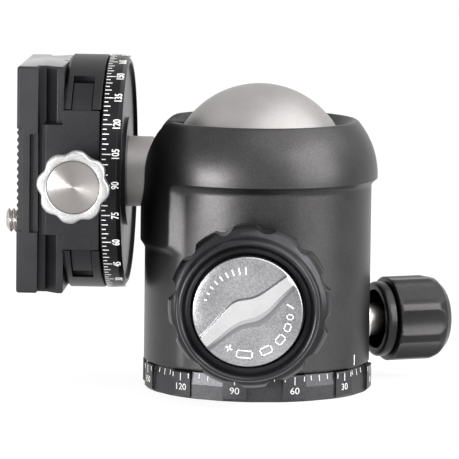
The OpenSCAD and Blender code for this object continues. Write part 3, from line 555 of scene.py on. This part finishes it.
# The ridge starts as a flat grid from -1 to 1 both ways. Its crown lies against the upper
# edge, with a short steep flank above it and a long easy one below.
ridge = bmesh.new()
bmesh.ops.create_grid(ridge, x_segments=64, y_segments=20, size=1)
lifted = set(draw_out(ridge, ridge.faces[:], (0, 0, 0)))
# The height of each band across the ridge picks its finish: painted light on the crown, less on
# the slope, painted shade on the flanks.
for face in ridge.faces:
    level = face.calc_center_median().y
    if level > CROWN_HIGH or level < SLOPE_LOW:
        face.material_index = 3
    else:
        face.material_index = 1 if level > CROWN_LOW else 2
for vert in ridge.verts:
    level = vert.co.y
    along = vert.co.x * (DIAL_R - 0.75)
    upper, lower = ridge_edge(along), -ridge_edge(-along) - FOOT_OUT
    easy_foot = EASY_SHARE * (upper - lower)
    crown_foot = lower + easy_foot
    if level > CROWN_HIGH:
        share = (level - CROWN_HIGH) / (1 - CROWN_HIGH)
        across, height = upper + STEEP_FOOT * share, RIDGE_H * (1 - share)
    elif level > CROWN_LOW:
        share = (level - CROWN_LOW) / (CROWN_HIGH - CROWN_LOW)
        across = crown_foot + (upper - crown_foot) * share
        height = RIDGE_H * (EASY_H + (1 - EASY_H) * share)
    else:
        share = (level + 1) / (CROWN_LOW + 1)
        across = lower + easy_foot * share
        height = RIDGE_H * EASY_H * share ** 1.4
    fit = min(1, RIDGE_REACH / hypot(along, across))
    vert.co = (along * fit, across * fit, DIAL_TOP + (height if vert in lifted else -0.3))
ridge.transform(Matrix.Rotation(radians(RIDGE_TURN), 4, "Z"))
put_into(dial, ridge)
dial.transform(ON_KNOB)

# Blasted and anodised clear, the floor sparkles with fine grain. The ridge is cut smooth after
# blasting, and its bands are lit and shaded copies of that cut finish: painted light makes the
# crown bright and the long slope a little less, and painted shade makes the flanks dark.
dial_silver = blasted("blasted_silver", "#828284", "#B8B8BA", 1.0, 0.26, grit=0.38, relief=0.035)
painted_lit_crown_silver = blasted("cut_silver_painted_lit_crown", "#C6C6C7", "#DADADB", 1.0, 0.3, grit=0.3, relief=0.006)
painted_half_lit_slope_silver = blasted("cut_silver_painted_half_lit_slope", "#B7B7B8", "#C8C8C9", 1.0, 0.34, grit=0.3, relief=0.012)
painted_shade_flank_silver = blasted("cut_silver_painted_shade_flank", "#7E7E80", "#959597", 1.0, 0.4, grit=0.3, relief=0.02)
dial_face = finish_mesh(dial, "dial_face", "friction_dial",
                        [dial_silver, painted_lit_crown_silver, painted_half_lit_slope_silver, painted_shade_flank_silver])
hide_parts("friction_dial")


def outline_box(bm, angle, radius, length, depth, line=0.28):
    """The outline of a box that stands on a circle, length round it and depth across it."""
    x, y = radius * cos(radians(angle)), radius * sin(radians(angle))
    for across in (-1, 1):
        for size, shift in (((line, length), (across * (depth - line) / 2, 0)),
                            ((depth, line), (0, across * (length - line) / 2))):
            turned_shift = Matrix.Rotation(radians(angle), 2) @ Vector(shift)
            stroke(bm, x + turned_shift.x, y + turned_shift.y, *size, lean=angle)


# The scale from minus to plus goes below the ridge, in boxes that grow.
marks = bmesh.new()
stroke(marks, 10.95, 1.65, 2.1, DIAL_LINE_W, lean=-32)
for angle, length in ((-5.8, 1.5), (-20.3, 2.2), (-39.5, 2.7), (-63.6, 3.3), (-93.7, 4.3)):
    outline_box(marks, angle, DIAL_BOX_R, length, 1.8 if length < 2.3 else 2.1)
for lean in (-28, 62):
    stroke(marks, -4.7, -9.45, 1.9, DIAL_LINE_W, lean=lean)

# A plain arc of growing ticks goes above it.
for tick in range(9):
    angle, length = 165 - 9 * tick, 0.7 + 0.16 * tick
    middle = TICK_END_R - length / 2
    stroke(marks, middle * cos(radians(angle)), middle * sin(radians(angle)), length,
           DIAL_LINE_W, lean=angle)
bmesh.ops.translate(marks, verts=marks.verts, vec=(0, 0, DIAL_TOP))
marks.transform(ON_KNOB)
finish_mesh(marks, "dial_marks", "friction_dial", [enamel])


# ---- Pan-lock knob ----
# A slim grip of black anodised aluminium on a steel shaft. A plain band faces the housing,
# hollowed inside, and eight broad flutes leave narrow lands between them.
PAN_IN, PAN_OUT = 33.8, 53.8
PAN_R = 11.5
BAND_R = PAN_R - 1.4
PAN_SHAFT_R = 4.32
FLUTES, FLUTE_OUT, FLUTE_R = 8, 11, 12

grip = spin_profile(soften([
    (PAN_SHAFT_R, PAN_IN + 7.5), (BAND_R - 2.2, PAN_IN + 7.5), (BAND_R - 2.2, PAN_IN),
    (BAND_R - 0.5, PAN_IN), (BAND_R, PAN_IN + 0.5), (BAND_R, PAN_IN + 2.8),
    (BAND_R - 0.6, PAN_IN + 2.8), (BAND_R - 0.6, PAN_IN + 3.1), (PAN_R - 0.5, PAN_IN + 3.1),
    (PAN_R, PAN_IN + 3.7), (PAN_R, PAN_OUT - 5.2), (PAN_R - 0.8, PAN_OUT - 3),
    (PAN_R - 2.8, PAN_OUT - 0.9), (PAN_R - 5, PAN_OUT), (0.01, PAN_OUT),
    (0.01, PAN_OUT - 4.95), (PAN_SHAFT_R, PAN_OUT - 4.95)]))
mill_hollows(grip, FLUTES, 0, PAN_R + FLUTE_OUT, FLUTE_R, PAN_IN + 3.3, PAN_OUT - 2.6,
             run_out=0.7, blend=0.25)
grip.transform(ON_PAN)

# The same black as the main knob's, a touch glossier from handling.
pan_black = blasted("anodised_pan_knob", "#2C2B2C", "#373636", 0.9, 0.28, grit=0.35)
pan_grip = finish_mesh(grip, "pan_grip", "pan_knob", [pan_black])
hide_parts("pan_knob")


# ---- Pan disc ----
# The graduated disc on the end of the stem, turned from aluminium and anodised a deep black.
# The clamp pans against marks every 2.5 degrees and a number every 15.
DISC_R = 31.0
DISC_IN, DISC_OUT = 34.7, 40.0
SCALE_TURN = -0.95
DISC_MARK_W, DISC_MARK_GAP = 0.25, 0.45
DISC_MARK_L = 2.3, 1.65, 1.05
DISC_FIGURE_Z, DISC_FIGURE_H = 1.3, 2.0
ON_STEM = Matrix.Translation((0, 0, BALL_Z)) @ Matrix.Rotation(radians(-90), 4, "Y")

# Left nearly as turned, it takes a deeper black, and its rims keep a thin bright line.
disc_black = blasted("anodised_disc", "#1D1D1F", "#262628", 0.9, 0.34, grit=0.3, edge=0.25)
dress(disc_black, "pan_disc")

marks = bmesh.new()
for half in range(0, 720, 5):
    degrees = half / 2
    around = radians(degrees - 90 + SCALE_TURN) * DISC_R
    long = DISC_MARK_L[0 if degrees % 15 == 0 else 1 if degrees % 5 == 0 else 2]
    stroke(marks, around, DISC_OUT - DISC_MARK_GAP - long / 2, DISC_MARK_W, long)
    if degrees % 15 == 0:
        figure(marks, int(degrees), around, DISC_IN + DISC_FIGURE_Z, DISC_FIGURE_H,
               stretch=0.74, weight=0.019)
wrap(marks, DISC_R)
marks.transform(ON_STEM)
finish_mesh(marks, "disc_marks", "ball", [enamel])


# ---- Clamp ----
# Body and moving jaw are milled from aluminium bar, blasted and anodised black. Two tongues
# on the jaw slide in slots of the body, over steel pins.

# Milled, then blasted and anodised: a dull black whose broken edges catch a thin light.
clamp_black = blasted("anodised_clamp", "#29282A", "#333234", 0.9, 0.4, grit=0.35, edge=0.25)
dress(clamp_black, "clamp_body", "moving_jaw")


# ---- Clamp knob ----
# Eight soft lobes of blasted, clear-anodised aluminium, with a disc let into its face that
# was turned on a lathe, so fine rings draw the light out into a bow.
CLAMP_X = 46.0
GRIP_R, CAP_R = 9.5, 6.8
GRIP_IN, GRIP_OUT = 31.4, 42.0
JAW_FACE, HUB_R, CLAMP_SCREW_R = 25.05, 5.5, 3.02
LOBES, LOBE_TURN = 8, 37.5
LOBE_ROOT, LOBE_DEEP = 7.0, 0.9
RING_STEP = 0.24
ON_GRIP = ON_STEM @ Matrix.Translation((0, 0, CLAMP_X)) @ Matrix.Rotation(radians(90), 4, "X")

grip = spin_profile(soften([
    (CLAMP_SCREW_R, JAW_FACE), (HUB_R, JAW_FACE), (HUB_R, GRIP_IN), (GRIP_R - 2, GRIP_IN),
    (GRIP_R - 1.2, GRIP_IN + 1), (GRIP_R, GRIP_OUT - 2.6), (GRIP_R, GRIP_OUT - 0.5),
    (GRIP_R - 0.5, GRIP_OUT),
    (CAP_R + 0.25, GRIP_OUT), (CAP_R + 0.05, GRIP_OUT - 0.3), (CAP_R + 0.05, GRIP_OUT - 1.2),
    (0.01, GRIP_OUT - 1.2), (0.01, GRIP_OUT - 3), (CLAMP_SCREW_R, GRIP_OUT - 3)],
    rounds=0.15))
for vert in grip.verts:
    radius = vert.co.xy.length
    if radius > LOBE_ROOT and vert.co.z > GRIP_IN - 0.1:
        wave = 0.5 - 0.5 * cos(LOBES * (atan2(vert.co.y, vert.co.x) - radians(LOBE_TURN)))
        share = (radius - LOBE_ROOT) / (GRIP_R - LOBE_ROOT)
        set_radius(vert, radius - LOBE_DEEP * wave ** 1.6 * share)
grip.transform(ON_GRIP)

# Coarse blasting under clear anodising: a bright, slightly rough silver.
knob_silver = blasted("blasted_bright_silver", "#8E8E8E", "#C2C2C2", 1.0, 0.42, grit=0.4,
                      relief=0.04)
clamp_grip = finish_mesh(grip, "clamp_grip", "clamp_knob", [knob_silver])
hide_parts("clamp_knob")

cap = spin_profile([(0.01, GRIP_OUT - 1.15), (CAP_R, GRIP_OUT - 1.15), (CAP_R, GRIP_OUT - 0.45),
                    (CAP_R - 0.15, GRIP_OUT - 0.4), (0.01, GRIP_OUT - 0.55)], steps=128)
cap.transform(ON_GRIP)

# Faced aluminium: real rings are near 0.1 mm apart and are drawn coarser so that they show.
# They spread a highlight across their own run.
spun, tree, shader, place = new_finish("spun_aluminium", 1.0, 0.33)
centred = add(tree, "ShaderNodeMapping",
              {"Vector": place, "Location": (CLAMP_X * MM, 0, -BALL_Z * MM)})
rings = add(tree, "ShaderNodeTexWave", {"Vector": (centred, "Vector"), "Distortion": 1.5,
                                        "Scale": pi / (10 * RING_STEP * MM), "Detail": 2.0},
            wave_type="RINGS", rings_direction="Y")
tone = add(tree, "ShaderNodeMix", {"Factor": (rings, "Fac"), "A": linear("#6E6A68"),
                                   "B": linear("#B3AEAB")}, data_type="RGBA")
tree.links.new(tone.outputs["Result"], shader.inputs["Base Color"])
shader.inputs["Anisotropic"].default_value = 0.85
shader.inputs["Anisotropic Rotation"].default_value = 0.25
round_axis = add(tree, "ShaderNodeTangent", direction_type="RADIAL", axis="Y")
tree.links.new(round_axis.outputs["Tangent"], shader.inputs["Tangent"])
ripple = add(tree, "ShaderNodeBump", {"Height": (rings, "Fac"), "Strength": 0.5,
                                      "Distance": 0.01 * MM})
tree.links.new(ripple.outputs["Normal"], shader.inputs["Normal"])
spun_cap = finish_mesh(cap, "spun_cap", "clamp_knob", [spun])
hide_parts("clamp_knob_cap")


# ---- Clamp's pan lock ----
# A small fluted knob of black anodised aluminium on the far side of the clamp, which presses
# a brass pad on the stem's boss.
LOCK_X = 43.2
LOCK_IN, LOCK_OUT = 32.0, 43.0
LOCK_R, LOCK_SHAFT_R = 6.5, 2.52
LOCK_FLUTES, LOCK_FLUTE_OUT, LOCK_FLUTE_R = 10, 0.9, 1.5
ON_LOCK = ON_STEM @ Matrix.Translation((0, 0, LOCK_X)) @ Matrix.Rotation(radians(-90), 4, "X")

grip = spin_profile(soften([
    (LOCK_SHAFT_R, LOCK_IN), (LOCK_R - 1, LOCK_IN), (LOCK_R, LOCK_IN + 1), (LOCK_R, LOCK_OUT - 2),
    (LOCK_R - 0.6, LOCK_OUT - 0.6), (LOCK_R - 1.8, LOCK_OUT), (0.01, LOCK_OUT),
    (0.01, LOCK_OUT - 2.95), (LOCK_SHAFT_R, LOCK_OUT - 2.95)]))
mill_hollows(grip, LOCK_FLUTES, 0, LOCK_R + LOCK_FLUTE_OUT, LOCK_FLUTE_R, LOCK_IN - 1,
             LOCK_OUT + 1, blend=0.25)
grip.transform(ON_LOCK)
lock_grip = finish_mesh(grip, "lock_grip", "clamp_lock", [pan_black])
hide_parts("clamp_lock_knob")


# ---- Dovetail plate ----
# Aluminium bar milled to a dovetail, with pockets in both sides and a channel for the pad.
# Its long faces are blasted; both ends are cut smoother, and all is anodised black.
PLATE_L, PLATE_DROP, END_EASE = 60.0, -0.8, 0.7
PLATE_IN, FLANGE_OUT, WAIST_OUT, BAND_IN, PLATE_OUT = 50.5, 52.3, 55.5, 57.3, 62.9
FLANGE_HALF, WAIST, BAND_HALF = 19.0, 15.8, 19.25
PAD_L, PAD_IN = 27.0, 61.4
POCKET_L, POCKET_DROP, POCKET_H, POCKET_DEEP = 26.0, -1.7, 2.1, 1.6
HEAD_IN, HEAD_OUT, HEAD_R, HEAD_GAP = 51.0, 54.0, 7.3, 0.3
SCREW_UP, SCREW_HOLE_R, CLIP_HOLE_R = -13.7, 3.425, 4.675
STOP_UP, STOP_R, STOP_DEEP = 26.0, 1.62, 55.6
END_HOLE_R, END_HOLE_X = 0.75, -51.5
ON_SCREW = ON_STEM @ Matrix.Translation((SCREW_UP, 0, 0))

half = [(FLANGE_HALF, PLATE_IN), (FLANGE_HALF, FLANGE_OUT), (WAIST, WAIST_OUT),
        (WAIST, BAND_IN), (BAND_HALF, BAND_IN), (BAND_HALF, PLATE_OUT - 0.5),
        (BAND_HALF - 0.5, PLATE_OUT)]
bar = bmesh.new()
low = PLATE_DROP - PLATE_L / 2
end = bar.faces.new([bar.verts.new((low, y, z)) for y, z in
                     half + [(-y, z) for y, z in reversed(half)]])
draw_out(bar, [end], (PLATE_L, 0, 0))
rims = [e for e in bar.edges if abs(e.verts[0].co.x - e.verts[1].co.x) < 0.01
        and e.calc_face_angle(0) > 1.4]
bmesh.ops.bevel(bar, geom=rims, offset=END_EASE, offset_type="OFFSET", segments=3,
                affect="EDGES", profile=0.5, material=-1, clamp_overlap=True)
# Both end faces take the smoother finish whose lighter colour is a painted reflection.
for face in bar.faces:
    if abs(face.normal.x) > 0.9:
        face.material_index = 1
bar.transform(ON_STEM)


def block(middle, length, y, z):
    """A plain block of a length round middle, between a pair of limits on Y and on Z."""
    bm = bmesh.new()
    size = Matrix.Diagonal((length, y[1] - y[0], z[1] - z[0], 1))
    place = Matrix.Translation((middle, (y[1] + y[0]) / 2, (z[1] + z[0]) / 2))
    bmesh.ops.create_cube(bm, size=1, matrix=ON_STEM @ place @ size)
    return bm


# The pad's channel, the pockets, the screw's stepped hole, a small hole in the upper end and
# the holes of the stop screws.
pocket_z = (BAND_IN - 1, BAND_IN + POCKET_H)
plate_cuts = [
    block(PLATE_DROP, PAD_L, (-40, 40), (PAD_IN, 70)),
    block(POCKET_DROP, POCKET_L, (BAND_HALF - POCKET_DEEP, 40), pocket_z),
    block(POCKET_DROP, POCKET_L, (-40, POCKET_DEEP - BAND_HALF), pocket_z),
    rod(SCREW_HOLE_R, 40, 70, ON_SCREW),
    rod(HEAD_R + HEAD_GAP, 40, HEAD_OUT + HEAD_GAP, ON_SCREW),
    rod(CLIP_HOLE_R, PAD_IN, 70, ON_SCREW),
    rod(END_HOLE_R, 83, 90, Matrix.Translation((END_HOLE_X, 0, 0)), steps=32)]
for side in (-1, 1):
    place = ON_STEM @ Matrix.Translation((PLATE_DROP + side * STOP_UP, 0, 0))
    plate_cuts.append(rod(STOP_R, 40, STOP_DEEP, place, steps=32))

# Blasted black like the clamp. The milled ends are smoother, so they mirror the pale room, and
# their colour is also painted much lighter as a painted reflection of it.
plate_black = blasted("anodised_plate", "#302F31", "#3A393B", 0.9, 0.4, grit=0.35, edge=0.25)
end_black_painted_reflection = blasted("milled_plate_end_painted_reflection", "#5E5D5F", "#6F6E70", 0.9, 0.16, grit=0.5, edge=0.2,
                    relief=0.004)
dovetail_bar = finish_mesh(bar, "dovetail_bar", "plate", [plate_black, end_black_painted_reflection],
                           cutters=plate_cuts)
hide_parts("plate")

# Moulded rubber: matt, with a faint bloom and a leathery skin.
SKIN_GRAIN = 0.35
rubber, tree, shader, place = new_finish("moulded_rubber", 0.0, 0.7)
skin = add(tree, "ShaderNodeTexNoise",
           {"Vector": place, "Scale": 1 / (SKIN_GRAIN * MM), "Detail": 3.0})
bloom = add(tree, "ShaderNodeMix", {"Factor": (skin, "Fac"), "A": linear("#161617"),
                                    "B": linear("#272728")}, data_type="RGBA")
tree.links.new(bloom.outputs["Result"], shader.inputs["Base Color"])
bump = add(tree, "ShaderNodeBump", {"Height": (skin, "Fac"), "Strength": 0.6,
                                    "Distance": 0.05 * MM})
tree.links.new(bump.outputs["Normal"], shader.inputs["Normal"])
dress(rubber, "plate_pad")


# ---- Camera screw ----
# A 1/4 inch screw of stainless steel, turned with a wide coin-slotted head. The thread is
# wound as the tripod thread is and closed with a chamfered end.
NECK_R, THREAD_ROOT, THREAD_R = 2.575, 2.5, 3.175
THREAD_IN, THREAD_END, TIP_OUT = 63.0, 66.85, 67.3
SLOT_HALF, SLOT_DEEP = 0.9, 1.2
FINE_PITCH = 25.4 / 20


def rim_of(bm, height):
    """The open edges at a height."""
    return [edge for edge in bm.edges if edge.is_boundary and
            all(abs(vert.co.z - height) < 0.01 for vert in edge.verts)]


def draw_rim(bm, height):
    """Draws the open edges at a height out into a new wall. Returns the vertices of its rim."""
    return verts_in(bmesh.ops.extrude_edge_only(bm, edges=rim_of(bm, height))["geom"])


screw = wind_thread(THREAD_ROOT, THREAD_R, FINE_PITCH, THREAD_IN, THREAD_END)
for vert in draw_rim(screw, THREAD_END):
    vert.co = (vert.co.x * 0.78, vert.co.y * 0.78, TIP_OUT)
bmesh.ops.contextual_create(screw, geom=rim_of(screw, TIP_OUT))
for vert in draw_rim(screw, THREAD_IN):
    set_radius(vert, NECK_R)
for vert in draw_rim(screw, THREAD_IN):
    vert.co.z = HEAD_OUT - 0.2
bmesh.ops.contextual_create(screw, geom=rim_of(screw, HEAD_OUT - 0.2))
head = spin_profile(soften([(0.01, HEAD_IN), (HEAD_R, HEAD_IN), (HEAD_R, HEAD_OUT),
                            (0.01, HEAD_OUT)], step=9, rounds=0.3), steps=96)
for side in (-1, 1):
    bmesh.ops.bisect_plane(head, geom=head.verts[:] + head.edges[:] + head.faces[:],
                           plane_co=(side * SLOT_HALF, 0, 0), plane_no=(1, 0, 0))
for vert in head.verts:
    if abs(vert.co.x) < SLOT_HALF + 0.05 and vert.co.z < HEAD_IN + 0.4:
        vert.co.z += SLOT_DEEP
put_into(screw, head)
screw.transform(ON_SCREW)

# Turned stainless steel: bright and a little warm.
stainless = blasted("turned_stainless", "#A8A4A0", "#C9C5C1", 1.0, 0.28, grit=0.3, edge=0.1,
                    relief=0.01)
camera_thread = finish_mesh(screw, "camera_thread", "camera_screw", [stainless])
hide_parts("camera_screw")


# ---- Studio ----
# A pale paper floor under soft light: a small softbox low on the left, a panel on the right
# and a wide one high up. The lens is long, and the camera stands a little above the head.
FLOOR_HALF = 12
PAPER_SHARE, PAPER_GLOW, ROOM_LIGHT = 0.8, 1.1, 0.55
LIT_POINT = Vector((-0.008, 0, 0.045))
CAMERA_POINT, CAMERA_DISTANCE = Vector((-0.00777, 0, 0.04177)), 1.303
CAMERA_AZIMUTH, CAMERA_ELEVATION, CAMERA_ROLL = 3.284, 6.933, 0.66
LENS = 383.5


def looked_at(tree):
    """1 where the camera, a reflection or glass looks, and 0 for the light that falls."""
    rays = add(tree, "ShaderNodeLightPath")
    seen = add(tree, "ShaderNodeMath", {0: (rays, "Is Camera Ray"), 1: (rays, "Is Glossy Ray")},
               operation="MAXIMUM")
    seen = add(tree, "ShaderNodeMath", {0: (seen, "Value"), 1: (rays, "Is Transmission Ray")},
               operation="MAXIMUM")
    return seen, "Value"


ground = bmesh.new()
bmesh.ops.create_grid(ground, x_segments=1, y_segments=1, size=FLOOR_HALF)
mesh = bpy.data.meshes.new("floor")
ground.to_mesh(mesh)
ground.free()
floor = bpy.data.objects.new("floor", mesh)
bpy.context.scene.collection.objects.link(floor)
paper, tree, shader, place = new_finish("paper_floor", 0.0, 0.9)
shader.inputs["Base Color"].default_value = linear("#F4F4F4")
share = add(tree, "ShaderNodeMath", {0: looked_at(tree), 1: PAPER_SHARE}, operation="MULTIPLY")
glow = add(tree, "ShaderNodeEmission", {"Color": (1, 1, 1, 1), "Strength": PAPER_GLOW})
mixed = add(tree, "ShaderNodeMixShader", {0: (share, "Value"), 1: (shader, "BSDF"),
                                          2: (glow, "Emission")})
tree.links.new(mixed.outputs["Shader"], tree.nodes["Material Output"].inputs["Surface"])
mesh.materials.append(paper)

world = bpy.data.worlds.new("studio")
bpy.context.scene.world = world
world.use_nodes = True
tree = world.node_tree
level = add(tree, "ShaderNodeMapRange",
            {"Value": looked_at(tree), "To Min": ROOM_LIGHT, "To Max": 1.0})
tree.links.new(level.outputs["Result"], tree.nodes["Background"].inputs["Strength"])
tree.nodes["Background"].inputs["Color"].default_value = (1, 1, 1, 1)


def aimed(point, azimuth, elevation, distance):
    """The place of what faces a point from a distance. Azimuth 0 is in front of the head and
    grows to the right."""
    turn, rise = radians(azimuth), radians(elevation)
    back = Vector((sin(turn) * cos(rise), -cos(turn) * cos(rise), sin(rise)))
    return (Matrix.Translation(point + back * distance)
            @ back.to_track_quat("Z", "Y").to_matrix().to_4x4())


def softbox(name, azimuth, elevation, distance, width, height, level):
    """A panel that faces the head. Level is its brightness, where 1 is white."""
    lamp = bpy.data.lights.new(name, "AREA")
    lamp.shape = "RECTANGLE"
    lamp.size, lamp.size_y = width, height
    lamp.energy = level * pi * width * height
    panel = bpy.data.objects.new(name, lamp)
    panel.matrix_world = aimed(LIT_POINT, azimuth, elevation, distance)
    panel.visible_camera = False
    bpy.context.scene.collection.objects.link(panel)


softbox("left_softbox", azimuth=-43, elevation=3, distance=0.45, width=0.25, height=0.13,
        level=22)
softbox("right_panel", azimuth=62, elevation=18, distance=0.7, width=0.5, height=0.6, level=5.5)
softbox("top_panel", azimuth=65, elevation=55, distance=0.8, width=1.5, height=0.8, level=1.9)

camera = bpy.data.objects.new("camera", bpy.data.cameras.new("camera"))
camera.data.lens = LENS
camera.data.clip_end = 50
camera.matrix_world = (aimed(CAMERA_POINT, CAMERA_AZIMUTH, CAMERA_ELEVATION, CAMERA_DISTANCE)
                       @ Matrix.Rotation(radians(CAMERA_ROLL), 4, "Z"))
bpy.context.scene.collection.objects.link(camera)
bpy.context.scene.camera = camera
bpy.context.scene.view_settings.view_transform = "Standard"
